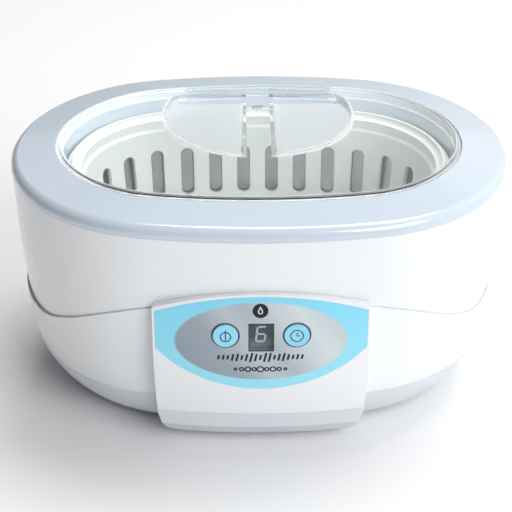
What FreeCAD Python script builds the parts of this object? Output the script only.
"""Oval ultrasonic cleaner for jewellery: tank, basket, clear lid, two push buttons and drive electronics.

Millimetres. X runs along the length, -Y is the front with the controls, and Z is up. The origin is on
the surface that the feet stand on, at the middle of the object. Every shell follows one four-centre
oval, so a shell's cross-section is given as insets from that oval and heights above the surface.
"""
import FreeCAD
import Part
import math
import os
import re
import Sketcher

Vector = FreeCAD.Vector
UP = Vector(0, 0, 1)

SIZES = {
    # how far a cutter runs past the face it opens or a joined part laps its neighbour, how deep a small
    # part sinks into what it is joined to, and how far a cutting block reaches beyond the whole body
    "past": 1, "sink": 0.5, "beyond": 10,
    # the widest outline, seen from above
    "half_length": 105, "half_depth": 74, "end_radius": 71,
    # heights of the main joints
    "floor_low": 2.5, "floor_high": 4.7, "base_top": 24.5, "waist": 38, "rim_back": 46.3,
    "ledge": 37, "lip_top": 74, "deck_low": 90.5, "deck_top": 93, "housing_top": 101.5,
    "ring_top": 107, "ring_crest": 109.2, "seat": 104.3,
    # bowl-shaped lower part: an arc that turns vertical at the waist
    "wall": 2.2, "bowl_radius": 46, "waist_inset": 2.2, "lip_inset": 0.1,
    # upper housing: a shallow arc, vertical at its top
    "upper_inset": 0.3, "upper_arc": 620, "lap_gap": 0.1, "shelf_inset": 6.3, "shelf_thickness": 2,
    "deck_inset": 24.8,
    # sweep of the lower housing's edge up to the control block
    "sweep_start": 97.8, "sweep_foot": 87.6, "sweep_foot_height": 49.1, "sweep_foot_radius": 20,
    "sweep_turn": 72, "sweep_turn_height": 58.5, "sweep_end": 44, "sweep_top": 69.8,
    "sweep_radius": 96,
    # top ring
    "ring_corner": 4, "seat_outer": 19, "seat_inner": 22, "seat_thickness": 2, "skirt_wall": 2,
    # control block, revolved about the centre of the oval's long side arc
    "block_top": 79.4, "block_low": 20.5, "block_face_low": 74.8, "block_face_top": 75.4,
    "block_face_radius": 150, "block_half_angle": 9.25, "block_wall_angle": 0.48,
    "block_arch": 133, "block_arch_half": 44, "block_arch_side": 71.9, "block_back": 71.4,
    "block_room": 58, "room_drop": 6, "arch_reach": 2, "arch_reach_drop": 0.66,
    "tray_low": 3, "tray_face_mid": 74, "tray_mid": 13, "tray_face_low": 65.5, "tray_half_top": 43.2,
    "tray_half_low": 40.4, "tray_shoulder": 10, "tray_corner": 7, "tray_wall": 2,
    "tray_spread": 0.4,
    # blue control film
    "film": 0.5, "film_half": 42.2, "film_side_low": 54, "film_side_top": 70.7, "film_top_arc": 120,
    "film_bottom_arc": 56.8,
    # controls, measured in the leaning frame of the control face
    "panel_lean": 4.2, "panel_face": 77.6, "panel_height": 61.5, "button_x": 14.1, "button_radius": 5,
    "button_hole": 5.3, "button_front": 0.1, "button_depth": 3.6, "flange_radius": 6.4,
    "flange_thickness": 1, "stem_radius": 1.8, "stem_end": 7.2, "plunger_radius": 1.6,
    "plunger_end": 9.2, "switch_front": 7.9, "switch_half": 3.1, "switch_bore": 1.65,
    "switch_bore_end": 10.2, "board_front": 11.5, "board_back": 13.1, "window_half": 4.6,
    "window_half_height": 5.8, "window_back": 2.9, "lens_flange": 1.2, "lens_flange_back": 3.3,
    "window_gap": 0.1, "window_drop": 0.9, "lens_lap": 0.2, "display_half": 6.2, "display_half_height": 9.5,
    "display_front": 3.5, "control_half": 31, "control_low": 17, "control_top": 10.5,
    "control_post_x": 26, "control_post_low": 14, "control_post_top": 7.5, "control_post_radius": 2.4,
    "control_post_front": 2.4, "small_head": 2.2, "small_head_height": 1.5, "small_shank": 1.1,
    "small_shank_length": 6,
    # lid
    "lid_outer": 19.4, "lid_low": 104.45, "lid_edge": 109, "lid_bead": 110.4, "lid_corner": 1.4,
    "lid_inner": 21.4, "lid_field": 109.8, "lid_wall": 1.8, "lid_fillet": 0.6,
    "well_radius": 41, "well_centre": 26, "well_back": 44, "well_bar": 6.8, "well_corner": 6,
    "well_deep": 105.4, "well_shallow": 109, "well_front": 15, "well_wall": 1.6,
    "well_reach": 5,
    "vent_y": 31, "vent_half": 1.9, "vent_radius": 0.9,
    # basket
    "basket_outer": 23.2, "basket_seat": 95.4, "basket_side": 97.8, "basket_top": 100,
    "basket_bead": 2.2, "basket_bead_inner": 29.2, "basket_inner_bead": 2.6, "basket_crest": 26.6,
    "basket_step_top": 93.5, "basket_step": 92.5, "basket_step_inset": 30.6, "basket_wall": 1.8,
    "basket_low_inset": 33, "basket_low": 53, "basket_corner": 4, "basket_under_rim": 27.6,
    "slot_width": 6, "slot_low": 60, "slot_top": 83.5, "slot_pitch": 13, "slot_turn": 20.6,
    "floor_slot_length": 20, "floor_slot_y": 16, "floor_slot_width": 5,
    # tank, gasket
    "tank_edge": 17, "tank_flange_low": 94.5, "tank_flange_top": 95.3, "tank_mouth": 26.5,
    "tank_lip_radius": 1.2, "tank_sheet": 0.8, "tank_low_inset": 30.5, "tank_corner": 8,
    "tank_floor": 46.8, "gasket_outer": 18.4, "gasket_inner": 24, "tank_ease": 0.4,
    # transducer under the tank
    "front_mass_radius": 19, "front_mass_low": 34, "piezo_radius": 17.5, "piezo_bore": 7.5,
    "piezo_thickness": 4.6, "electrode": 0.4, "tab_reach": 23, "tab_half": 1.5, "tab_y": 3,
    "rear_mass_low": 12, "bolt_radius": 4, "bolt_top": 40, "bolt_head_radius": 6.5,
    "bolt_head_height": 3.5, "tab_root": 4,
    # driver board on the base
    "board_left": 74, "board_right": 22, "board_half": 26, "board_low": 11, "board_top": 12.6,
    "board_post_left": 70.5, "board_post_right": 25.5, "board_post_y": 22.5, "board_post_radius": 2.5,
    "core_left": 65, "core_right": 43, "core_half": 6, "core_top": 32.6, "core_leg": 3.5,
    "core_yoke": 4, "core_window": 4.5, "coil_half": 11, "coil_gap": 0.1,
    "capacitor_x": 36.5, "capacitor_radius": 5, "capacitor_height": 20, "capacitor_low_y": 15,
    "capacitor_high_y": 2.5, "sink_back": 73.5, "sink_front": 70.5, "sink_half": 18, "sink_top": 38,
    "fin_reach": 80, "fin_thickness": 1.2, "transistor_front": 66,
    "transistor_y": 9, "transistor_half": 5, "transistor_low": 17, "transistor_top": 32,
    "leg_radius": 0.4, "leg_pitch": 2.54, "fuse_y": 20, "fuse_left": 64, "fuse_right": 44,
    "fuse_radius": 2.5, "fuse_height": 17, "fuse_cap": 5, "clip_half": 3.2, "clip_top": 20,
    "terminal_left": 62, "terminal_right": 46, "terminal_low_y": 15.5, "terminal_high_y": 25,
    "terminal_top": 22.6, "terminal_way": 1.4, "way_depth": 4, "mouth_depth": 3, "mouth_height": 4,
    "capacitor_far_y": 10, "fin_step": 6.96, "fin_foot": 2, "coil_round": 2, "clip_mouth": 2,
    # leads inside the housing
    "header_left": 29.5, "header_right": 22.5, "header_low_y": 16, "header_high_y": 11,
    "header_top": 19.6, "socket_left": 31, "socket_right": 25, "socket_half": 5, "socket_top": 17,
    "plug_depth": 4.8, "plug_low": 9.5, "plug_high": 4.5,
    "ribbon_x": 26, "ribbon_half": 3, "ribbon_thickness": 0.9, "ribbon_start": 60.2,
    "ribbon_top": 53.2, "ribbon_drop": 52, "ribbon_run": 24, "ribbon_bend": 5, "ribbon_end_bend": 4,
    "lead_radius": 0.9, "lead_drop": 28, "lead_bend": 2.5,
    # cord gland at the back
    "gland_height": 31.5, "gland_boss": 7, "gland_boss_out": 72.3, "gland_boss_in": 67.5,
    "gland_neck": 4.8, "gland_flange": 6.4, "gland_nose": 5, "gland_out": 78, "gland_in": 65.5,
    "gland_bore": 3.2, "gland_collar": 5.8,
    # fasteners, posts and feet
    "ring_screw_inset": 10, "ring_screw_turn": 50, "ring_boss_radius": 3.2, "ring_pilot_top": 103,
    "screw_shank": 1.5, "screw_head": 2.9, "screw_head_height": 2,
    "tie_inset": 22.5, "tie_turn": 40, "tie_post": 3.7, "tie_boss": 3, "tie_joint": 30,
    "tie_counterbore": 3.2, "tie_head_top": 5.8, "tie_head_low": 3.2, "tie_head": 3, "tie_top": 45,
    "foot_x": 58, "foot_y": 26, "foot_radius": 6, "foot_plug": 3,
    "vent_first": 32, "vent_pitch": 6, "vent_length": 24, "vent_width": 2.4,
}
WORKING_WORDS = {"sqrt", "sin", "cos"}

doc = FreeCAD.newDocument("ultrasonic_cleaner")
sheet = doc.addObject("Spreadsheet::Sheet", "dims")
for row, (alias, number) in enumerate(SIZES.items(), start=1):
    sheet.set(f"A{row}", alias)
    sheet.set(f"B{row}", str(number))
    sheet.setAlias(f"B{row}", alias)
doc.recompute()

nodes = {}


def in_sheet(text):
    """The same expression with each alias written as a cell of the sheet."""
    def cell(match):
        word = match.group(0)
        return word if word in WORKING_WORDS else f"dims.{word}"
    return re.sub(r"[a-z][a-z_]*", cell, str(text))


def size(text):
    """The value of an expression in the sheet's aliases."""
    return float(sheet.evalExpression(in_sheet(text)))


def bind(thing, prop, text):
    """Binds one property to an expression in the sheet's aliases."""
    thing.setExpression(prop, in_sheet(text))


def keep(label, thing):
    """Names a finished sub-part; the name is also its file's."""
    thing.Label = label
    nodes[label] = thing
    return thing


# ---------------------------------------------------------------- sketches

SIDE_RADIUS = ("half_depth + ((half_length - end_radius)^2 - (half_depth - end_radius)^2)"
               " / (2 * (half_depth - end_radius))")
SIDE_CENTRE = f"({SIDE_RADIUS} - half_depth)"
END_CENTRE = "(half_length - end_radius)"


def new_sketch(body, name, role):
    """A sketch on one of the body's own origin planes."""
    sketch = body.newObject("Sketcher::SketchObject", name)
    plane = next(item for item in body.Origin.OriginFeatures if item.Role == role)
    sketch.AttachmentSupport = [(plane, "")]
    sketch.MapMode = "FlatFace"
    return sketch


def measure(sketch, kind, where, text):
    """Adds one dimension that is bound to the sheet."""
    index = sketch.addConstraint(Sketcher.Constraint(kind, *where, size(text)))
    bind(sketch, f"Constraints[{index}]", text)


def oval(body, name, inset):
    """The four-centre oval on the XY plane; its right end arc is split where the sections stand."""
    sketch = new_sketch(body, name, "XY_Plane")
    radius = size(f"end_radius - ({inset})")
    centre = size(END_CENTRE)
    side = size(f"{SIDE_RADIUS} - ({inset})")
    drop = size(SIDE_CENTRE)
    turn = math.atan2(drop, centre)
    arcs = [(centre, 0, radius, 0, turn), (0, -drop, side, turn, math.pi - turn),
            (-centre, 0, radius, math.pi - turn, math.pi + turn),
            (0, drop, side, math.pi + turn, 2 * math.pi - turn), (centre, 0, radius, -turn, 0)]
    for x, y, arc_radius, start, end in arcs:
        circle = Part.Circle(Vector(x, y, 0), UP, arc_radius)
        sketch.addGeometry(Part.ArcOfCircle(circle, start, end), False)
    rules = [("Tangent", 0, 2, 1, 1), ("Coincident", 1, 2, 2, 1), ("Coincident", 2, 2, 3, 1),
             ("Coincident", 3, 2, 4, 1), ("Coincident", 4, 2, 0, 1), ("Coincident", 0, 3, 4, 3),
             ("Symmetric", 0, 2, 2, 1, -2), ("Symmetric", 2, 1, 2, 2, -1),
             ("Symmetric", 0, 2, 4, 1, -1), ("PointOnObject", 0, 1, -1), ("Equal", 0, 2),
             ("Equal", 1, 3)]
    for rule in rules:
        sketch.addConstraint(Sketcher.Constraint(*rule))
    measure(sketch, "Radius", (0,), f"end_radius - ({inset})")
    measure(sketch, "Radius", (1,), f"{SIDE_RADIUS} - ({inset})")
    measure(sketch, "DistanceX", (-1, 1, 0, 1), f"half_length - ({inset})")
    return sketch


def outline(body, name, role, corners):
    """A closed outline. A corner is (across, up) or (across, up, radius) when an arc leads to it.

    A positive radius turns left on the way to the corner and a negative one turns right.
    """
    sketch = new_sketch(body, name, role)
    points = [Vector(size(corner[0]), size(corner[1]), 0) for corner in corners]
    starts = []
    ends = []
    for index, start in enumerate(points):
        arrival = (index + 1) % len(points)
        end = points[arrival]
        if len(corners[arrival]) == 2:
            sketch.addGeometry(Part.LineSegment(start, end), False)
            starts.append((index, 1))
            ends.append((index, 2))
            continue
        radius = size(corners[arrival][2])
        chord = end - start
        left = Vector(-chord.y, chord.x, 0).normalize()
        reach = math.sqrt(radius ** 2 - chord.Length ** 2 / 4)
        turns_left = radius > 0
        centre = (start + end) / 2 + left * (reach if turns_left else -reach)
        first, last = (start, end) if turns_left else (end, start)
        angles = [math.atan2(point.y - centre.y, point.x - centre.x) for point in (first, last)]
        if angles[1] < angles[0]:
            angles[1] += 2 * math.pi
        circle = Part.Circle(centre, UP, abs(radius))
        sketch.addGeometry(Part.ArcOfCircle(circle, *angles), False)
        starts.append((index, 1 if turns_left else 2))
        ends.append((index, 2 if turns_left else 1))
    for index, corner in enumerate(corners):
        sketch.addConstraint(Sketcher.Constraint("Coincident", *ends[index - 1], *starts[index]))
        measure(sketch, "DistanceX", (-1, 1, *starts[index]), corner[0])
        measure(sketch, "DistanceY", (-1, 1, *starts[index]), corner[1])
        if len(corner) == 3:
            measure(sketch, "Radius", ((index - 1) % len(corners),), f"sqrt(({corner[2]})^2)")
    return sketch


# ---------------------------------------------------------------- solids

def shell(name, section):
    """A body that carries a section, given as (inset, height) corners, round the oval."""
    body = doc.addObject("PartDesign::Body", name)
    path = oval(body, f"{name}_path", "0")
    corners = [(f"half_length - ({corner[0]})", *corner[1:]) for corner in section]
    sketch = outline(body, f"{name}_section", "XZ_Plane", corners)
    pipe = body.newObject("PartDesign::AdditivePipe", f"{name}_pipe")
    pipe.Profile = sketch
    pipe.Spine = (path, [f"Edge{index}" for index in range(1, 6)])
    return body


def plate(name, inset, low, high):
    """A flat oval plate between two heights."""
    body = doc.addObject("PartDesign::Body", name)
    sketch = oval(body, f"{name}_outline", inset)
    bind(sketch, "AttachmentOffset.Base.z", low)
    pad = body.newObject("PartDesign::Pad", f"{name}_pad")
    pad.Profile = sketch
    bind(pad, "Length", f"({high}) - ({low})")
    return body


def front_prism(name, corners, depth="half_depth + beyond"):
    """An outline in the XZ plane carried forward, to -Y."""
    body = doc.addObject("PartDesign::Body", name)
    sketch = outline(body, f"{name}_outline", "XZ_Plane", corners)
    pad = body.newObject("PartDesign::Pad", f"{name}_pad")
    pad.Profile = sketch
    bind(pad, "Length", depth)
    return body


def revolved(name, corners, half_angle):
    """A section in the YZ plane turned both ways about the centre of the oval's front side arc."""
    body = doc.addObject("PartDesign::Body", name)
    sketch = outline(body, f"{name}_section", "YZ_Plane", corners)
    middle = size(SIDE_CENTRE)
    axis = sketch.addGeometry(Part.LineSegment(Vector(middle, 0, 0), Vector(middle, 100, 0)), True)
    sketch.addConstraint(Sketcher.Constraint("Vertical", axis))
    measure(sketch, "DistanceX", (-1, 1, axis, 1), SIDE_CENTRE)
    turn = body.newObject("PartDesign::Revolution", f"{name}_turn")
    turn.Profile = sketch
    turn.ReferenceAxis = (sketch, ["Axis0"])
    turn.Midplane = True
    bind(turn, "Angle", f"2 * ({half_angle})")
    return body


def block(name, x_range, y_range, z_range):
    """A box between two values along each axis."""
    box = doc.addObject("Part::Box", name)
    for side, base, span in (("Length", "x", x_range), ("Width", "y", y_range), ("Height", "z", z_range)):
        bind(box, side, f"({span[1]}) - ({span[0]})")
        bind(box, f"Placement.Base.{base}", span[0])
    return box


TURNS = {"z": FreeCAD.Rotation(), "y": FreeCAD.Rotation(Vector(1, 0, 0), -90),
         "x": FreeCAD.Rotation(Vector(0, 1, 0), 90)}


def rod(name, radius, start, length, axis="z", end_radius=None):
    """A cylinder, or a cone when it has a second radius, from a start point along an axis."""
    kind = "Part::Cylinder" if end_radius is None else "Part::Cone"
    thing = doc.addObject(kind, name)
    if end_radius is None:
        bind(thing, "Radius", radius)
    else:
        bind(thing, "Radius1", radius)
        bind(thing, "Radius2", end_radius)
    bind(thing, "Height", length)
    thing.Placement = FreeCAD.Placement(Vector(), TURNS[axis])
    for base, text in zip("xyz", start):
        bind(thing, f"Placement.Base.{base}", text)
    return thing


def fuse(name, things):
    """One solid from touching ones."""
    joined = doc.addObject("Part::MultiFuse", name)
    joined.Shapes = things
    return joined


def cut(name, base, tools):
    """The base less the tools."""
    tool = tools[0] if len(tools) == 1 else fuse(f"{name}_tools", tools)
    result = doc.addObject("Part::Cut", name)
    result.Base = base
    result.Tool = tool
    return result


def common(name, first, second):
    """What two solids share."""
    result = doc.addObject("Part::MultiCommon", name)
    result.Shapes = [first, second]
    return result


def group(name, things):
    """Separate solids that share one node."""
    result = doc.addObject("Part::Compound", name)
    result.Links = things
    return result


def on_panel(thing):
    """Places a piece, drawn with y into the housing, in the leaning frame of the control face."""
    lean = FreeCAD.Rotation(Vector(1, 0, 0), -size("panel_lean"))
    thing.Placement = FreeCAD.Placement(Vector(), lean)
    bind(thing, "Placement.Base.y", "-panel_face")
    bind(thing, "Placement.Base.z", "panel_height")
    return thing


def round_edges(name, base, radius, chosen):
    """Rounds the edges of a solid that the test picks."""
    doc.recompute()
    picked = [index for index, edge in enumerate(base.Shape.Edges, start=1) if chosen(edge)]
    rounding = doc.addObject("Part::Fillet", name)
    rounding.Base = base
    rounding.Edges = [(index, size(radius), size(radius)) for index in picked]
    return rounding


def upper_inset_at(height):
    """The inset of the upper housing's outer face at a height."""
    return f"(upper_inset + (housing_top - ({height}))^2 / (2 * upper_arc))"


def bowl_inset_at(height, radius="bowl_radius"):
    """The inset of an arc concentric with the bowl at a height below the waist."""
    return f"(waist_inset + bowl_radius - sqrt(({radius})^2 - (waist - ({height}))^2))"


def front_of_bowl(height, radius):
    """Where such an arc stands in front, at the middle of the object."""
    return f"-(half_depth - {bowl_inset_at(height, radius)})"


def end_positions(inset, turn):
    """Four points on the end arcs at an inset, turned up and down from the long axis."""
    reach = f"(end_radius - {inset})"
    across = f"({END_CENTRE} + {reach} * cos({turn}))"
    along = f"({reach} * sin({turn}))"
    return [(f"{sx} * {across}", f"{sy} * {along}") for sx in ("1", "-1") for sy in ("1", "-1")]


# ---------------------------------------------------------------- housings

def ring_screw_places():
    """Four screws near the ends and two at the middle of the long sides."""
    sides = "(half_depth - ring_screw_inset)"
    return end_positions("ring_screw_inset", "ring_screw_turn") + [("0", sides), ("0", f"-{sides}")]


def make_top_ring():
    """The coloured rim: a hollow ring with a seat for the lid, a skirt and screw bosses."""
    section = [
        ("upper_inset", "housing_top"),
        ("0", "ring_top - ring_corner"),
        ("ring_corner", "ring_top", "ring_corner"),
        ("seat_outer", "ring_crest"),
        ("seat_outer", "seat"),
        ("seat_inner", "seat"),
        ("seat_inner", "tank_flange_top"),
        ("seat_inner - skirt_wall", "tank_flange_top"),
        ("seat_inner - skirt_wall", "seat - seat_thickness"),
        ("seat_outer - skirt_wall", "seat - seat_thickness"),
        ("seat_outer - skirt_wall", "ring_crest - wall"),
        ("ring_corner", "ring_top - wall"),
        ("wall + upper_inset", "housing_top"),
    ]
    ring = shell("ring_shell", section)
    bosses = []
    pilots = []
    for index, (x, y) in enumerate(ring_screw_places()):
        top = "ring_top - wall + sink"
        bosses.append(rod(f"ring_boss_{index}", "ring_boss_radius", (x, y, "deck_top"), f"{top} - deck_top"))
        pilots.append(rod(f"ring_pilot_{index}", "screw_shank", (x, y, "deck_top - past"),
                          "ring_pilot_top - deck_top + past"))
    keep("top_ring", cut("ring_drilled", fuse("ring_with_bosses", [ring] + bosses), pilots))


def block_room(name):
    """The hollow of the control block, open behind and below."""
    inner_face = "block_face_radius - wall"
    section = [
        ("-block_room", "base_top - room_drop"),
        ("-block_room", "block_top - wall"),
        ("-(block_face_top - wall)", "block_top - wall"),
        ("-(block_face_low - wall)", "block_low", inner_face),
        ("-(block_face_low - wall)", "base_top - room_drop"),
    ]
    body = revolved(f"{name}_turned", section, "block_half_angle - block_wall_angle")
    return common(name, body, arch_prism(f"{name}_arch", "wall"))


def arch_prism(name, lowered):
    """Everything in front that lies under the control block's arched top."""
    half = "block_arch_half + arch_reach"
    side = "block_arch_side - arch_reach_drop"
    corners = [
        (f"-({half})", "0.5"),
        (half, "0.5"),
        (half, f"{side} - ({lowered})"),
        (f"-({half})", f"{side} - ({lowered})", f"block_arch - ({lowered})"),
    ]
    return front_prism(name, corners)


def make_upper_housing():
    """The tall white wall with its deck, tie bosses and an opening behind the controls."""
    section = [
        ("upper_inset", "housing_top", "upper_arc"),
        ("upper_inset + wall", "housing_top"),
        ("upper_inset + wall", "deck_top"),
        ("deck_inset", "deck_top"),
        ("deck_inset", "deck_low"),
        (f"{upper_inset_at('deck_low')} + wall", "deck_low"),
        (f"{upper_inset_at('ledge')} + wall", "ledge", "-(upper_arc - wall)"),
        (upper_inset_at("ledge"), "ledge"),
    ]
    walls = shell("upper_walls", section)
    bosses = []
    tools = [block_room("upper_room")]
    for index, (x, y) in enumerate(end_positions("tie_inset", "tie_turn")):
        bosses.append(rod(f"tie_boss_{index}", "tie_boss", (x, y, "tie_joint"),
                          "deck_top - sink - tie_joint"))
        tools.append(rod(f"tie_pilot_{index}", "screw_shank", (x, y, "tie_joint - past"),
                         "tie_top - tie_joint + past"))
    for index, (x, y) in enumerate(ring_screw_places()):
        tools.append(rod(f"deck_hole_{index}", "screw_shank", (x, y, "deck_low - past"),
                         "deck_top - deck_low + 2 * past"))
    keep("upper_housing", cut("upper_opened", fuse("upper_with_bosses", [walls] + bosses), tools))


def sweep_prism(name):
    """What is taken off the front of the lower wall, above its rising edge, on both sides."""
    top = "lip_top + beyond"
    far = "half_length + beyond"
    halves = []
    left = [
        (f"-({far})", "rim_back"),
        ("-sweep_start", "rim_back"),
        ("-sweep_foot", "sweep_foot_height", "sweep_foot_radius"),
        ("-sweep_turn", "sweep_turn_height"),
        ("-sweep_end", "sweep_top", "-sweep_radius"),
        ("-sweep_end", top),
        (f"-({far})", top),
    ]
    right = [
        ("sweep_end", top),
        ("sweep_end", "sweep_top"),
        ("sweep_turn", "sweep_turn_height", "-sweep_radius"),
        ("sweep_foot", "sweep_foot_height"),
        ("sweep_start", "rim_back", "sweep_foot_radius"),
        (far, "rim_back"),
        (far, top),
    ]
    for side, corners in (("left", left), ("right", right)):
        halves.append(front_prism(f"{name}_{side}", corners))
    halves.append(block(f"{name}_middle", ("-sweep_end", "sweep_end"), ("-(half_depth + beyond)", "0"),
                        ("sweep_top", top)))
    halves.append(block(f"{name}_back", (f"-({far})", far), ("0", "half_depth + beyond"), ("rim_back", top)))
    return halves


def upper_envelope(name):
    """The space of the upper housing's wall, with the lap's clearance."""
    section = [
        (f"{upper_inset_at('ledge')} - lap_gap", "ledge"),
        (f"{upper_inset_at('deck_low')} - lap_gap", "deck_low", "upper_arc"),
        ("shelf_inset * 2", "deck_low"),
        ("shelf_inset * 2", "ledge"),
    ]
    return shell(name, section)


def make_lower_housing():
    """The bowl-shaped wall with its rising edge and the hollow control block in front."""
    inner = "bowl_radius - wall"
    section = [
        (bowl_inset_at("base_top"), "base_top"),
        ("waist_inset", "waist", "bowl_radius"),
        ("lip_inset", "lip_top"),
        (f"{upper_inset_at('lip_top')} - lap_gap", "lip_top"),
        (f"{upper_inset_at('ledge')} - lap_gap", "ledge", "-upper_arc"),
        ("shelf_inset", "ledge"),
        ("shelf_inset", "ledge - shelf_thickness"),
        (bowl_inset_at("ledge - 2 * shelf_thickness", inner), "ledge - 2 * shelf_thickness"),
        (bowl_inset_at("base_top", inner), "base_top", f"-({inner})"),
    ]
    walls = cut("lower_walls_swept", shell("lower_walls", section), sweep_prism("sweep"))
    beside = "bowl_radius + lap_gap"
    within = "bowl_radius - past"
    face = [
        (front_of_bowl("block_low", beside), "block_low"),
        (front_of_bowl("base_top", beside), "base_top", f"-({beside})"),
        (front_of_bowl("base_top", within), "base_top"),
        (front_of_bowl("waist", within), "waist", f"-({within})"),
        ("-block_back", "block_top"),
        ("-block_face_top", "block_top"),
        ("-block_face_low", "block_low", "block_face_radius"),
    ]
    turned = revolved("block_turned", face, "block_half_angle")
    solid_block = common("block_solid", turned, arch_prism("block_arch_solid", "0"))
    gland_boss = rod("gland_boss_rod", "gland_boss", ("0", "gland_boss_in", "gland_height"),
                     "gland_boss_out - gland_boss_in", "y")
    solid_block = cut("block_fitted", solid_block, [upper_envelope("block_envelope")])
    gland_boss = cut("gland_boss_fitted", gland_boss, [upper_envelope("boss_envelope")])
    outside = fuse("lower_outside", [walls, solid_block, gland_boss])
    hollow = cut("lower_hollow", outside, [block_room("lower_room")])
    posts = []
    for x in ("control_post_x", "-control_post_x"):
        for z in ("-control_post_low", "control_post_top"):
            posts.append(rod(f"control_post_{len(posts)}", "control_post_radius",
                             (x, "control_post_front", z), "board_front - control_post_front", "y"))
    posts = on_panel(group("control_posts", posts))
    with_posts = fuse("lower_with_posts", [hollow, posts])
    gland_hole = rod("gland_hole", "gland_neck", ("0", "gland_in", "gland_height"),
                     "gland_out - gland_in", "y")
    tools = [film_blank("film_recess"), panel_holes("lower_panel_holes"), gland_hole]
    keep("lower_housing", cut("lower_opened", with_posts, tools))


def panel_holes(name):
    """Holes for the buttons, the display window and the control board's screws."""
    tools = []
    for index, x in enumerate(("-button_x", "button_x")):
        tools.append(rod(f"{name}_button_{index}", "button_hole", (x, "-3", "0"), "6.5", "y"))
    wide = "(window_half + window_gap)"
    tall = "(window_half_height + window_gap)"
    tools.append(block(f"{name}_window", (f"-{wide}", wide), ("-3", "3.5"),
                       (f"-window_drop - {tall}", f"-window_drop + {tall}")))
    for x in ("control_post_x", "-control_post_x"):
        for z in ("-control_post_low", "control_post_top"):
            tools.append(rod(f"{name}_pilot_{len(tools)}", "small_shank",
                             (x, "board_front - small_shank_length", z), "small_shank_length + past", "y"))
    return on_panel(fuse(name, tools))


def make_base_shell():
    """The grey bottom: bowl, floor, vents, tray under the control block and internal posts."""
    inner = "bowl_radius - wall"
    section = [
        (bowl_inset_at("base_top", inner), "base_top"),
        (bowl_inset_at("floor_high", inner), "floor_high", "-bowl_radius + wall"),
        ("deck_inset", "floor_high"),
        ("deck_inset", "floor_low"),
        (bowl_inset_at("floor_low"), "floor_low"),
        (bowl_inset_at("base_top"), "base_top", "bowl_radius"),
    ]
    bowl = shell("base_bowl", section)
    floor = plate("base_floor", "deck_inset - past", "floor_low", "floor_high")
    solids = [bowl, floor, base_tray()]
    tools = []
    for index, (x, y) in enumerate(end_positions("tie_inset", "tie_turn")):
        solids.append(rod(f"tie_post_{index}", "tie_post", (x, y, "floor_low + past"),
                          "tie_joint - floor_low - past"))
        tools.append(rod(f"tie_hole_{index}", "screw_shank", (x, y, "0"), "tie_joint + past"))
        tools.append(rod(f"tie_sink_{index}", "tie_counterbore", (x, y, "0"), "tie_head_top"))
    for index, (x, y) in enumerate(board_corners()):
        solids.append(rod(f"board_post_{index}", "board_post_radius", (x, y, "floor_low + past"),
                          "board_low - floor_low - past"))
        tools.append(rod(f"board_pilot_{index}", "small_shank",
                         (x, y, "board_top - small_shank_length"), "small_shank_length"))
    for index, (x, y) in enumerate(foot_places()):
        tools.append(rod(f"foot_hole_{index}", "foot_plug", (x, y, "0"), "floor_high + past"))
    for side in ("1", "-1"):
        for index in range(6):
            x = f"{side} * (vent_first + {index} * vent_pitch)"
            tools.append(block(f"vent_{len(tools)}", (f"{x} - vent_width / 2", f"{x} + vent_width / 2"),
                               ("-vent_length / 2", "vent_length / 2"), ("0", "floor_high + past")))
    keep("base_shell", cut("base_opened", fuse("base_solids", solids), tools))


def base_tray():
    """The grey lower end of the control block, hollow and open on top."""
    back = "half_depth - (waist_inset + bowl_radius - sqrt((bowl_radius - past)^2 - (waist - ({}))^2))"
    outer = [
        (f"-({back.format('block_low')})", "block_low", "-(bowl_radius - past)"),
        ("-block_face_low", "block_low"),
        ("-tray_face_mid", "tray_mid"),
        ("-tray_face_low", "tray_low"),
        (f"-({back.format('tray_low')})", "tray_low"),
    ]
    turned_tray = revolved("tray_turned", outer, "block_half_angle")
    solid = common("tray_solid", turned_tray, tray_prism("tray_front", "0"))
    skin = "half_depth - (waist_inset + bowl_radius - sqrt((bowl_radius + sink)^2 - (waist - ({}))^2))"
    low = "tray_low + tray_wall"
    room = [
        (f"-({skin.format('block_low + past')})", "block_low + past", "bowl_radius + sink"),
        ("-(block_face_low - tray_wall)", "block_low + past"),
        ("-(tray_face_mid - tray_wall)", "tray_mid"),
        ("-(tray_face_low - tray_wall / 2)", low),
        (f"-({skin.format(low)})", low),
    ]
    turned = revolved("tray_room_turned", room, "block_half_angle - block_wall_angle")
    room_solid = common("tray_room", turned, tray_prism("tray_room_front", "tray_wall"))
    return cut("tray", solid, [room_solid])


def tray_prism(name, inset):
    """The front view of the tray: sides that draw in, with rounded lower corners."""
    top = "block_low + 2 * past"
    wide = f"(tray_half_top + tray_spread - ({inset}))"
    narrow = f"(tray_half_low - ({inset}))"
    low = f"(tray_low + ({inset}))"
    corner = "tray_corner"
    corners = [
        (f"-{wide}", top),
        (f"-{narrow}", "tray_shoulder"),
        (f"-{narrow} + {corner}", low, corner),
        (f"{narrow} - {corner}", low),
        (narrow, "tray_shoulder", corner),
        (wide, top),
    ]
    return front_prism(name, corners)


# ---------------------------------------------------------------- control face

def film_blank(name):
    """The control film before its holes: a thin skin of the block's face inside the film's outline."""
    skin = [
        ("-(block_face_low - film)", "block_low"),
        ("-(block_face_top - film)", "block_top", "-(block_face_radius - film)"),
        ("-block_face_top", "block_top"),
        ("-block_face_low", "block_low", "block_face_radius"),
    ]
    turned = revolved(f"{name}_turned", skin, "block_half_angle")
    corners = [
        ("-film_half", "film_side_low"),
        ("film_half", "film_side_low", "film_bottom_arc"),
        ("film_half", "film_side_top"),
        ("-film_half", "film_side_top", "film_top_arc"),
    ]
    return common(name, turned, front_prism(f"{name}_front", corners))


def make_panel_overlay():
    """The printed film, with holes for the buttons and the window."""
    keep("panel_overlay", cut("film_cut", film_blank("film"), [panel_holes("film_holes")]))


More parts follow.
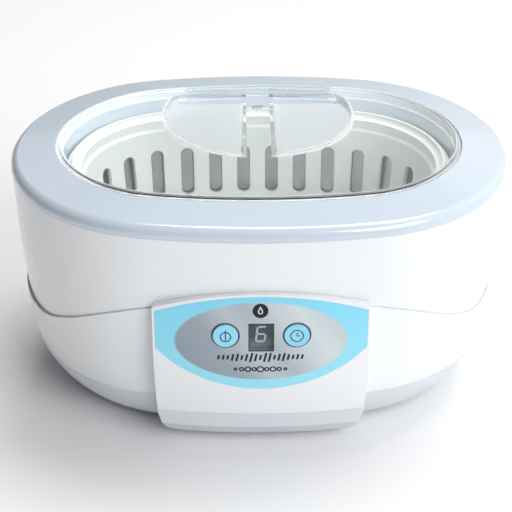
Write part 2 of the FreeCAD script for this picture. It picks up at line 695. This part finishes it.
def make_buttons():
    """Two round caps with a retaining flange and a stem, each on its switch's plunger."""
    for label, side in (("power", "-button_x"), ("timer", "button_x")):
        cap = rod(f"{label}_cap", "button_radius", (side, "-button_front", "0"), "button_depth", "y")
        flange_start = "(button_depth - button_front)"
        flange = rod(f"{label}_flange", "flange_radius", (side, flange_start, "0"), "flange_thickness", "y")
        stem_start = f"({flange_start} + flange_thickness)"
        stem = rod(f"{label}_stem", "stem_radius", (side, stem_start, "0"), f"stem_end - {stem_start}", "y")
        joined = fuse(f"{label}_button_solid", [cap, flange, stem])
        keep(f"{label}_button", on_panel(joined))
        plunger = rod(f"{label}_plunger_rod", "plunger_radius", (side, "stem_end", "0"),
                      "plunger_end - stem_end", "y")
        keep(f"{label}_plunger", on_panel(group(f"{label}_plunger_set", [plunger])))


def make_switches():
    """A square switch body behind each button, bored for its plunger."""
    for label, side in (("power", "-button_x"), ("timer", "button_x")):
        case = block(f"{label}_switch_case", (f"{side} - switch_half", f"{side} + switch_half"),
                     ("switch_front", "board_front"), ("-switch_half", "switch_half"))
        bore = rod(f"{label}_switch_bore", "switch_bore", (side, "switch_front - past", "0"),
                   "switch_bore_end - switch_front + past", "y")
        keep(f"{label}_switch", on_panel(cut(f"{label}_switch_solid", case, [bore])))


def make_display():
    """The smoked window with its flange and the digit module behind it."""
    tall = "window_half_height"
    lens = block("lens", ("-window_half", "window_half"), ("0", "window_back"),
                 (f"-window_drop - {tall}", f"-window_drop + {tall}"))
    wide = "(window_half + lens_flange)"
    tall = "(window_half_height + lens_flange)"
    flange = block("lens_edge", (f"-{wide}", wide), ("window_back - lens_lap", "lens_flange_back"),
                   (f"-window_drop - {tall}", f"-window_drop + {tall}"))
    keep("display_window", on_panel(fuse("lens_solid", [lens, flange])))
    tall = "display_half_height"
    module = block("digit_case", ("-display_half", "display_half"), ("display_front", "board_front"),
                   (f"-window_drop - {tall}", f"-window_drop + {tall}"))
    keep("display_module", on_panel(group("digit_set", [module])))


def make_control_board():
    """The upright circuit board and its four screws."""
    plain = block("control_plate", ("-control_half", "control_half"), ("board_front", "board_back"),
                  ("-control_low", "control_top"))
    holes = []
    screws = []
    for x in ("control_post_x", "-control_post_x"):
        for z in ("-control_post_low", "control_post_top"):
            index = len(holes)
            holes.append(rod(f"control_hole_{index}", "small_shank", (x, "board_front - past", z),
                             "board_back - board_front + 2 * past", "y"))
            head = rod(f"control_head_{index}", "small_head", (x, "board_back", z),
                       "small_head_height", "y")
            shank = rod(f"control_shank_{index}", "small_shank",
                        (x, "board_front - small_shank_length", z),
                        "board_back - board_front + small_shank_length + sink", "y")
            screws.append(fuse(f"control_screw_{index}", [head, shank]))
    keep("control_board", on_panel(cut("control_drilled", plain, holes)))
    keep("control_board_screws", on_panel(group("control_screw_set", screws)))


# ---------------------------------------------------------------- lid, basket, tank

def well_outline(body, name, wall, side):
    """One half of the finger well: a disc cut off straight at the back and beside the bar."""
    inner = f"(well_bar - ({wall}))"
    back = f"(well_back + ({wall}))"
    radius = f"(well_radius + ({wall}))"
    corner = f"(well_corner + ({wall}))"
    at_bar = f"(well_centre - sqrt({radius}^2 - {inner}^2))"
    corner_y = f"({back} - {corner})"
    corner_x = f"sqrt(({radius} - {corner})^2 - ({corner_y} - well_centre)^2)"
    spread = f"({radius} / ({radius} - {corner}))"
    round_x = f"({corner_x} * {spread})"
    round_y = f"(well_centre + ({corner_y} - well_centre) * {spread})"
    corners = [
        (inner, at_bar),
        (round_x, round_y, radius),
        (corner_x, back, corner),
        (inner, back),
    ]
    if side < 0:
        corners = [
            (f"-{inner}", back),
            (f"-{corner_x}", back),
            (f"-{round_x}", round_y, corner),
            (f"-{inner}", at_bar, radius),
        ]
    return outline(body, name, "XY_Plane", corners)


def above_floor(name, lowered):
    """The space over the wells' sloping floor, which is deepest at the back."""
    body = doc.addObject("PartDesign::Body", name)
    slope = "((well_shallow - well_deep) / (well_front + well_back))"
    front = "(well_radius + well_reach)"
    back = "(well_back + well_reach)"
    corners = [
        (f"-{front}", f"well_shallow - {lowered} + ({front} - well_front) * {slope}"),
        (back, f"well_deep - {lowered} - ({back} - well_back) * {slope}"),
        (back, "lid_bead + well_reach"),
        (f"-{front}", "lid_bead + well_reach"),
    ]
    pad = body.newObject("PartDesign::Pad", f"{name}_pad")
    pad.Profile = outline(body, f"{name}_outline", "YZ_Plane", corners)
    pad.Midplane = True
    bind(pad, "Length", "well_radius * 3")
    return body


def wells(name, wall, high):
    """Both halves of the finger well as solids that stand on the sloping floor."""
    halves = []
    for side in (1, -1):
        body = doc.addObject("PartDesign::Body", f"{name}_{'right' if side > 0 else 'left'}")
        sketch = well_outline(body, f"{body.Name}_outline", wall, side)
        bind(sketch, "AttachmentOffset.Base.z", "seat")
        pad = body.newObject("PartDesign::Pad", f"{body.Name}_pad")
        pad.Profile = sketch
        bind(pad, "Length", f"({high}) - seat")
        halves.append(common(f"{body.Name}_sloped", body, above_floor(f"{body.Name}_space", wall)))
    return halves


def make_lid():
    """The clear lid: a beaded edge that drops into the rim, a flat field, and two wells beside a bar."""
    under_field = "lid_field - lid_wall"
    section = [
        ("lid_outer", "lid_low"),
        ("lid_inner", "lid_low"),
        ("lid_inner", f"{under_field} - lid_fillet"),
        ("lid_inner + lid_wall", "lid_field - lid_wall / 2"),
        ("lid_inner", "lid_bead"),
        ("lid_outer + lid_corner", "lid_bead"),
        ("lid_outer", "lid_edge", "lid_corner"),
    ]
    rim = shell("lid_rim", section)
    field = plate("lid_plate", "lid_inner - lid_wall / 2", under_field, "lid_field")
    walls = wells("well_block", "well_wall", "lid_field - lid_wall / 2")
    rooms = wells("well_room", "0", "lid_bead + past")
    solid = cut("lid_with_wells", fuse("lid_solids", [rim, field] + walls), rooms)
    vent = block("lid_vent_slot", ("-vent_half", "vent_half"),
                 ("vent_y - vent_radius", "vent_y + vent_radius"), ("well_deep", "lid_bead + past"))
    ends = [rod(f"lid_vent_end_{index}", "vent_radius", (x, "vent_y", "well_deep"),
                "lid_bead + past - well_deep") for index, x in enumerate(("-vent_half", "vent_half"))]
    keep("lid", cut("lid_vented", solid, [vent] + ends))


def rounded_slot(width, length, depth):
    """A slot cutter along +X, its length upright and its ends half round, centred on the origin."""
    straight = length - width
    body = Part.makeBox(depth, width, straight, Vector(0, -width / 2, -straight / 2))
    for end in (-straight / 2, straight / 2):
        body = body.fuse(Part.makeCylinder(width / 2, depth, Vector(0, 0, end), Vector(1, 0, 0)))
    return body


def basket_slots():
    """Upright slots at an even pitch round the wall, and two rows of slots in the floor."""
    width = size("slot_width")
    height = size("slot_top - slot_low")
    middle = size("(slot_top + slot_low) / 2")
    pitch = size("slot_pitch")
    centre = size(END_CENTRE)
    turn = size("slot_turn")
    upright = rounded_slot(width, height, size("half_depth"))
    slots = []

    def place(shape, position, rotation):
        copy = shape.copy()
        copy.Placement = FreeCAD.Placement(position, rotation)
        slots.append(copy)

    for step in (-2.5, -1.5, -0.5, 0.5, 1.5, 2.5):
        for facing in (90, -90):
            place(upright, Vector(step * pitch, 0, middle), FreeCAD.Rotation(UP, facing))
    for step in (-3.5, -2.5, -1.5, -0.5, 0.5, 1.5, 2.5, 3.5):
        for end, facing in ((centre, 0), (-centre, 180)):
            place(upright, Vector(end, 0, middle), FreeCAD.Rotation(UP, facing + step * turn))
    flat = rounded_slot(size("floor_slot_width"), size("floor_slot_length"), size("basket_wall + 4 * past"))
    lying = FreeCAD.Rotation(Vector(0, 1, 0), -90)
    for step in (-3.5, -2.5, -1.5, -0.5, 0.5, 1.5, 2.5, 3.5):
        for y in (-size("floor_slot_y"), size("floor_slot_y")):
            place(flat, Vector(step * pitch, y, size("basket_low - 2 * past")),
                  FreeCAD.Rotation(UP, 90).multiply(lying))
    feature = doc.addObject("Part::Feature", "basket_slots")
    feature.Shape = Part.makeCompound(slots)
    return feature


def make_basket():
    """The white basket: a rolled rim that hangs on the tank's flange, slotted wall and floor."""
    low_corner = "basket_low + basket_wall + basket_corner"
    outer_corner = "(basket_corner + basket_wall)"
    section = [
        ("basket_outer", "basket_seat"),
        ("basket_under_rim", "basket_seat"),
        ("basket_step_inset - basket_wall", "basket_step"),
        ("basket_low_inset - basket_wall", low_corner),
        (f"basket_low_inset - basket_wall + {outer_corner}", "basket_low", f"-{outer_corner}"),
        (f"basket_low_inset + {outer_corner}", "basket_low"),
        (f"basket_low_inset + {outer_corner}", "basket_low + basket_wall"),
        ("basket_low_inset + basket_corner", "basket_low + basket_wall"),
        ("basket_low_inset", low_corner, "basket_corner"),
        ("basket_step_inset", "basket_step"),
        ("basket_bead_inner", "basket_step_top"),
        ("basket_bead_inner", "basket_top - basket_inner_bead"),
        ("basket_crest", "basket_top", "basket_inner_bead"),
        ("basket_outer + basket_bead", "basket_top"),
        ("basket_outer", "basket_side", "basket_bead"),
    ]
    walls = shell("basket_walls", section)
    floor = plate("basket_floor", "basket_low_inset + basket_corner + past", "basket_low",
                  "basket_low + basket_wall")
    keep("basket", cut("basket_slotted", fuse("basket_solid", [walls, floor]), [basket_slots()]))


def make_tank():
    """The pressed steel tank with its flange, and the gasket under the flange."""
    outer = "(tank_corner + tank_sheet)"
    low = "tank_floor + tank_corner"
    lip = "tank_flange_top - tank_lip_radius"
    section = [
        ("tank_edge", "tank_flange_low"),
        ("tank_mouth - tank_sheet - tank_ease", "tank_flange_low"),
        ("tank_mouth - tank_sheet", "tank_flange_low - tank_ease"),
        ("tank_low_inset - tank_sheet", low),
        (f"tank_low_inset - tank_sheet + {outer}", "tank_floor - tank_sheet", f"-{outer}"),
        (f"tank_low_inset + {outer}", "tank_floor - tank_sheet"),
        (f"tank_low_inset + {outer}", "tank_floor"),
        ("tank_low_inset + tank_corner", "tank_floor"),
        ("tank_low_inset", low, "tank_corner"),
        ("tank_mouth", lip),
        ("tank_mouth - tank_lip_radius", "tank_flange_top", "-tank_lip_radius"),
        ("tank_edge", "tank_flange_top"),
    ]
    floor = plate("tank_floor_plate", "tank_low_inset + tank_corner", "tank_floor - tank_sheet",
                  "tank_floor")
    keep("tank", fuse("tank_solid", [shell("tank_walls", section), floor]))
    gasket = [
        ("gasket_outer", "deck_top"),
        ("gasket_inner", "deck_top"),
        ("gasket_inner", "tank_flange_low"),
        ("gasket_outer", "tank_flange_low"),
    ]
    keep("tank_gasket", shell("gasket_ring", gasket))


# ---------------------------------------------------------------- transducer

def annulus(name, outer, bore, low, high):
    """A round disc with a hole."""
    disc = rod(f"{name}_disc", outer, ("0", "0", low), f"({high}) - ({low})")
    hole = rod(f"{name}_hole", bore, ("0", "0", f"({low}) - past"), f"({high}) - ({low}) + 2 * past")
    return cut(name, disc, [hole])


def make_transducer():
    """The clamped stack under the tank: two masses, two ceramic rings, two electrodes and a bolt."""
    top = "tank_floor - tank_sheet"
    front = rod("front_mass_rod", "front_mass_radius", ("0", "0", "front_mass_low"),
                f"{top} - front_mass_low")
    thread = rod("front_mass_thread", "bolt_radius", ("0", "0", "front_mass_low - past"),
                 "bolt_top - front_mass_low + past")
    keep("transducer_front_mass", cut("front_mass", front, [thread]))
    upper_low = "front_mass_low - piezo_thickness"
    first_low = f"({upper_low} - electrode)"
    lower_low = f"({first_low} - piezo_thickness)"
    second_low = f"({lower_low} - electrode)"
    rings = [annulus("upper_piezo", "piezo_radius", "piezo_bore", upper_low, "front_mass_low"),
             annulus("lower_piezo", "piezo_radius", "piezo_bore", lower_low, first_low)]
    keep("piezo_rings", group("piezo_set", rings))
    tabs = []
    for index, (low, y) in enumerate(((first_low, "-tab_y"), (second_low, "tab_y"))):
        ring = annulus(f"electrode_{index}", "piezo_radius", "piezo_bore", low, f"{low} + electrode")
        tab = block(f"tab_{index}", ("-tab_reach", "-piezo_bore - tab_root"),
                    (f"{y} - tab_half", f"{y} + tab_half"), (low, f"{low} + electrode"))
        tabs.append(fuse(f"electrode_tab_{index}", [ring, tab]))
    keep("electrode_tabs", group("electrode_set", tabs))
    keep("transducer_rear_mass", annulus("rear_mass", "piezo_radius", "bolt_radius", "rear_mass_low",
                                         second_low))
    head = doc.addObject("Part::Prism", "bolt_head")
    head.Polygon = 6
    bind(head, "Circumradius", "bolt_head_radius")
    bind(head, "Height", "bolt_head_height")
    bind(head, "Placement.Base.z", "rear_mass_low - bolt_head_height")
    shank = rod("bolt_shank", "bolt_radius", ("0", "0", "rear_mass_low - sink"),
                "bolt_top - rear_mass_low + sink")
    keep("transducer_bolt", fuse("bolt", [head, shank]))


# ---------------------------------------------------------------- driver board

def board_corners():
    """Where the driver board is screwed down."""
    return [(f"-{x}", f"{sign}board_post_y") for x in ("board_post_left", "board_post_right")
            for sign in ("", "-")]


def make_driver_board():
    """The board and its screws."""
    plain = block("driver_plate", ("-board_left", "-board_right"), ("-board_half", "board_half"),
                  ("board_low", "board_top"))
    holes = []
    screws = []
    for index, (x, y) in enumerate(board_corners()):
        holes.append(rod(f"driver_hole_{index}", "small_shank", (x, y, "board_low - past"),
                         "board_top - board_low + 2 * past"))
        head = rod(f"driver_head_{index}", "small_head", (x, y, "board_top"), "small_head_height")
        shank = rod(f"driver_shank_{index}", "small_shank",
                    (x, y, "board_top - small_shank_length"), "small_shank_length + sink")
        screws.append(fuse(f"driver_screw_{index}", [head, shank]))
    keep("driver_board", cut("driver_drilled", plain, holes))
    keep("driver_board_screws", group("driver_screw_set", screws))


def make_transformer():
    """A ferrite core with two windows, and the coil wound on its middle leg."""
    core = block("core_block", ("-core_left", "-core_right"), ("-core_half", "core_half"),
                 ("board_top", "core_top"))
    windows = []
    for index, start in enumerate(("-core_left + core_leg", "-core_right - core_leg - core_window")):
        windows.append(block(f"core_window_{index}", (start, f"{start} + core_window"),
                             ("-core_half - past", "core_half + past"),
                             ("board_top + core_yoke", "core_top - core_yoke")))
    keep("transformer_core", cut("core", core, windows))
    gap = "coil_gap"
    wound = block("coil_block", (f"-core_left + core_leg + {gap}", f"-core_right - core_leg - {gap}"),
                  ("-coil_half", "coil_half"),
                  (f"board_top + core_yoke + {gap}", f"core_top - core_yoke - {gap}"))
    leg = block("coil_leg", (f"-core_left + core_leg + core_window - {gap}",
                             f"-core_right - core_leg - core_window + {gap}"),
                (f"-core_half - {gap}", f"core_half + {gap}"), ("board_top", "core_top"))
    rounded = round_edges("coil_rounded", wound, "coil_round",
                          lambda edge: abs(edge.tangentAt(edge.FirstParameter).z) > 0.99)
    keep("transformer_coil", cut("coil", rounded, [leg]))


def make_board_parts():
    """Capacitors, heat sink, transistors, fuse and terminals of the driver board."""
    cans = []
    for index, y in enumerate(("-capacitor_low_y", "-capacitor_high_y", "capacitor_far_y")):
        cans.append(rod(f"can_{index}", "capacitor_radius", ("-capacitor_x", y, "board_top"),
                        "capacitor_height"))
    keep("filter_capacitors", group("can_set", cans))
    web = block("sink_web", ("-sink_back", "-sink_front"), ("-sink_half", "sink_half"),
                ("board_top", "sink_top"))
    fins = []
    for index in range(6):
        y = f"(-sink_half + {index} * fin_step)"
        fins.append(block(f"fin_{index}", ("-fin_reach", "-sink_back + sink"), (y, f"{y} + fin_thickness"),
                          ("board_top + fin_foot", "sink_top")))
    keep("heat_sink", fuse("sink", [web] + fins))
    packages = []
    for side in ("", "-"):
        y = f"{side}transistor_y"
        package = block(f"package_{len(packages)}", ("-sink_front", "-transistor_front"),
                        (f"{y} - transistor_half", f"{y} + transistor_half"),
                        ("transistor_low", "transistor_top"))
        legs = [rod(f"leg_{len(packages)}_{step + 1}", "leg_radius",
                    ("-(sink_front + transistor_front) / 2", f"{y} + {step} * leg_pitch", "board_top"),
                    "transistor_low - board_top + sink") for step in (-1, 0, 1)]
        packages.append(fuse(f"transistor_{len(packages)}", [package] + legs))
    keep("power_transistors", group("transistor_set", packages))
    glass = rod("fuse_rod", "fuse_radius", ("-fuse_left", "-fuse_y", "fuse_height"),
                "fuse_left - fuse_right", "x")
    keep("glass_fuse", group("fuse_set", [glass]))
    clips = []
    for index, start in enumerate(("-fuse_left", "-fuse_right - fuse_cap")):
        post = block(f"clip_block_{index}", (start, f"{start} + fuse_cap"),
                     ("-fuse_y - clip_half", "-fuse_y + clip_half"), ("board_top", "clip_top"))
        seat = rod(f"clip_seat_{index}", "fuse_radius", (f"{start} - past", "-fuse_y", "fuse_height"),
                   "fuse_cap + 2 * past", "x")
        mouth = block(f"clip_mouth_{index}", (f"{start} - past", f"{start} + fuse_cap + past"),
                      ("-fuse_y - clip_mouth", "-fuse_y + clip_mouth"),
                      ("fuse_height", "clip_top + past"))
        clips.append(cut(f"clip_{index}", post, [seat, mouth]))
    keep("fuse_clips", group("clip_set", clips))
    strip = block("terminal_strip", ("-terminal_left", "-terminal_right"),
                  ("terminal_low_y", "terminal_high_y"), ("board_top", "terminal_top"))
    ways = []
    for index in range(3):
        x = f"-terminal_left + (terminal_left - terminal_right) * {2 * index + 1} / 6"
        ways.append(rod(f"terminal_way_{index}", "terminal_way",
                        (x, "(terminal_low_y + terminal_high_y) / 2", "terminal_top - way_depth"),
                        "way_depth + past"))
        ways.append(rod(f"terminal_mouth_{index}", "terminal_way",
                        (x, "terminal_high_y - mouth_depth", "board_top + mouth_height"),
                        "mouth_depth + past", "y"))
    keep("terminal_block", cut("terminals", strip, ways))


def make_connectors():
    """White nylon sockets: two on the driver board and one behind the control board."""
    ribbon_header = block("ribbon_header", ("-header_left", "-header_right"),
                          ("-header_low_y", "-header_high_y"), ("board_top", "header_top"))
    lead_socket = block("lead_socket", ("-socket_left", "-socket_right"), ("-socket_half", "socket_half"),
                        ("board_top", "socket_top"))
    keep("driver_board_sockets", group("socket_set", [ribbon_header, lead_socket]))
    plug = block("control_plug", ("-header_left", "-header_right"), ("board_back", "board_back + plug_depth"),
                 ("-plug_low", "-plug_high"))
    keep("control_board_socket", on_panel(group("plug_set", [plug])))


def swept(name, profile, path):
    """A Part::Feature from a closed wire carried along a path of straight runs and tangent arcs."""
    solid = Part.Wire(path).makePipeShell([profile], True, False)
    feature = doc.addObject("Part::Feature", name)
    feature.Shape = solid
    return feature


def corner_path(points, radii):
    """Straight runs through the points, with a tangent arc of the given radius at each inner one."""
    edges = []
    start = points[0]
    for before, here, after, radius in zip(points, points[1:], points[2:], radii):
        arriving = (here - before).normalize()
        leaving = (after - here).normalize()
        half_turn = arriving.getAngle(leaving) / 2
        tangent = radius * math.tan(half_turn)
        first = here - arriving * tangent
        last = here + leaving * tangent
        inward = (leaving - arriving).normalize()
        middle = here + inward * (radius / math.cos(half_turn) - radius)
        edges.append(Part.LineSegment(start, first).toShape())
        edges.append(Part.Arc(first, middle, last).toShape())
        start = last
    edges.append(Part.LineSegment(start, points[-1]).toShape())
    return edges


def make_leads():
    """The flat cable between the boards and the two leads to the transducer."""
    x = -size("ribbon_x")
    bend = size("ribbon_bend")
    start = Vector(x, -size("ribbon_start"), size("ribbon_top"))
    drop = -size("ribbon_drop")
    end_y = -size("(header_low_y + header_high_y) / 2")
    points = [start, Vector(x, drop, start.z), Vector(x, drop, size("ribbon_run")),
              Vector(x, end_y, size("ribbon_run")), Vector(x, end_y, size("header_top"))]
    half = size("ribbon_half")
    rise = size("ribbon_thickness") / 2
    corners = [Vector(x + sx * half, start.y, start.z + sz * rise) for sx, sz in
               ((-1, -1), (1, -1), (1, 1), (-1, 1), (-1, -1))]
    flat = Part.makePolygon(corners)
    keep("ribbon_cable", swept("ribbon", flat, corner_path(points, [bend, bend, size("ribbon_end_bend")])))
    leads = []
    reach = -size("tab_reach")
    drop = -size("lead_drop")
    first_low = size("front_mass_low - piezo_thickness - electrode / 2")
    heights = (first_low, first_low - size("piezo_thickness + electrode"))
    for height, y in zip(heights, (-size("tab_y"), size("tab_y"))):
        route = [Vector(reach, y, height), Vector(drop, y, height), Vector(drop, y, size("socket_top"))]
        circle = Part.Circle(route[0], Vector(1, 0, 0), size("lead_radius")).toShape()
        leads.append(swept(f"lead_{len(leads)}", Part.Wire(circle), corner_path(route, [size("lead_bend")])))
    keep("transducer_leads", group("lead_set", leads))


# ---------------------------------------------------------------- gland, screws, feet

def make_cord_gland():
    """The rubber inlet at the back: a tapered nose, a neck through the wall and an inner collar."""
    nose = rod("gland_nose_cone", "gland_flange", ("0", "gland_boss_out", "gland_height"),
               "gland_out - gland_boss_out", "y", "gland_nose")
    neck = rod("gland_neck_rod", "gland_neck", ("0", "gland_boss_in - sink", "gland_height"),
               "gland_boss_out - gland_boss_in + 2 * sink", "y")
    collar = rod("gland_collar_rod", "gland_collar", ("0", "gland_in", "gland_height"),
                 "gland_boss_in - gland_in", "y")
    bore = rod("gland_bore_rod", "gland_bore", ("0", "gland_in - past", "gland_height"),
               "gland_out - gland_in + 2 * past", "y")
    keep("cord_gland", cut("gland", fuse("gland_solid", [nose, neck, collar]), [bore]))


def make_fasteners():
    """Screws up through the deck into the ring, and the four long ties from the base."""
    screws = []
    for index, (x, y) in enumerate(ring_screw_places()):
        head = rod(f"ring_head_{index}", "screw_head", (x, y, "deck_low - screw_head_height"),
                   "screw_head_height")
        shank = rod(f"ring_shank_{index}", "screw_shank", (x, y, "deck_low - sink"),
                    "ring_pilot_top - past - deck_low + sink")
        screws.append(fuse(f"ring_screw_{index}", [head, shank]))
    keep("ring_screws", group("ring_screw_set", screws))
    ties = []
    for index, (x, y) in enumerate(end_positions("tie_inset", "tie_turn")):
        head = rod(f"tie_head_{index}", "tie_head", (x, y, "tie_head_low"), "tie_head_top - tie_head_low")
        shank = rod(f"tie_shank_{index}", "screw_shank", (x, y, "tie_head_low + 1"),
                    "tie_top - 1 - tie_head_low")
        ties.append(fuse(f"tie_{index}", [head, shank]))
    keep("housing_screws", group("tie_set", ties))


def foot_places():
    """Where the four feet are."""
    return [(f"{sx}foot_x", f"{sy}foot_y") for sx in ("", "-") for sy in ("", "-")]


def make_feet():
    """Rubber discs with a plug through the floor."""
    feet = []
    for index, (x, y) in enumerate(foot_places()):
        pad = rod(f"foot_pad_{index}", "foot_radius - 0.8", (x, y, "0"), "floor_low", "z", "foot_radius")
        plug = rod(f"foot_plug_{index}", "foot_plug", (x, y, "floor_low - 0.5"),
                   "floor_high - floor_low + 0.5")
        feet.append(fuse(f"foot_{index}", [pad, plug]))
    keep("rubber_feet", group("foot_set", feet))


# ---------------------------------------------------------------- build, check, write

make_top_ring()
make_upper_housing()
make_lower_housing()
make_base_shell()
make_panel_overlay()
make_buttons()
make_switches()
make_display()
make_control_board()
make_lid()
make_basket()
make_tank()
make_transducer()
make_driver_board()
make_transformer()
make_board_parts()
make_connectors()
make_leads()
make_cord_gland()
make_fasteners()
make_feet()
doc.recompute()

failed = [thing.Name for thing in doc.Objects if {"Invalid", "Error"} & set(thing.State)]
if failed:
    raise RuntimeError(f"failed objects: {failed}")
os.makedirs("parts", exist_ok=True)
for label, thing in nodes.items():
    shape = thing.Shape
    if shape.isNull() or not shape.isValid() or not shape.Solids:
        raise RuntimeError(f"bad shape: {label}")
    box = shape.optimalBoundingBox(False)
    print(f"{label:24s} solids {len(shape.Solids):2d} volume {shape.Volume / 1000:9.3f} cm3"
          f"  x {box.XMin:7.1f} {box.XMax:7.1f}  y {box.YMin:6.1f} {box.YMax:6.1f}"
          f"  z {box.ZMin:6.1f} {box.ZMax:6.1f}")
    shape.exportStep(f"parts/{label}.step")
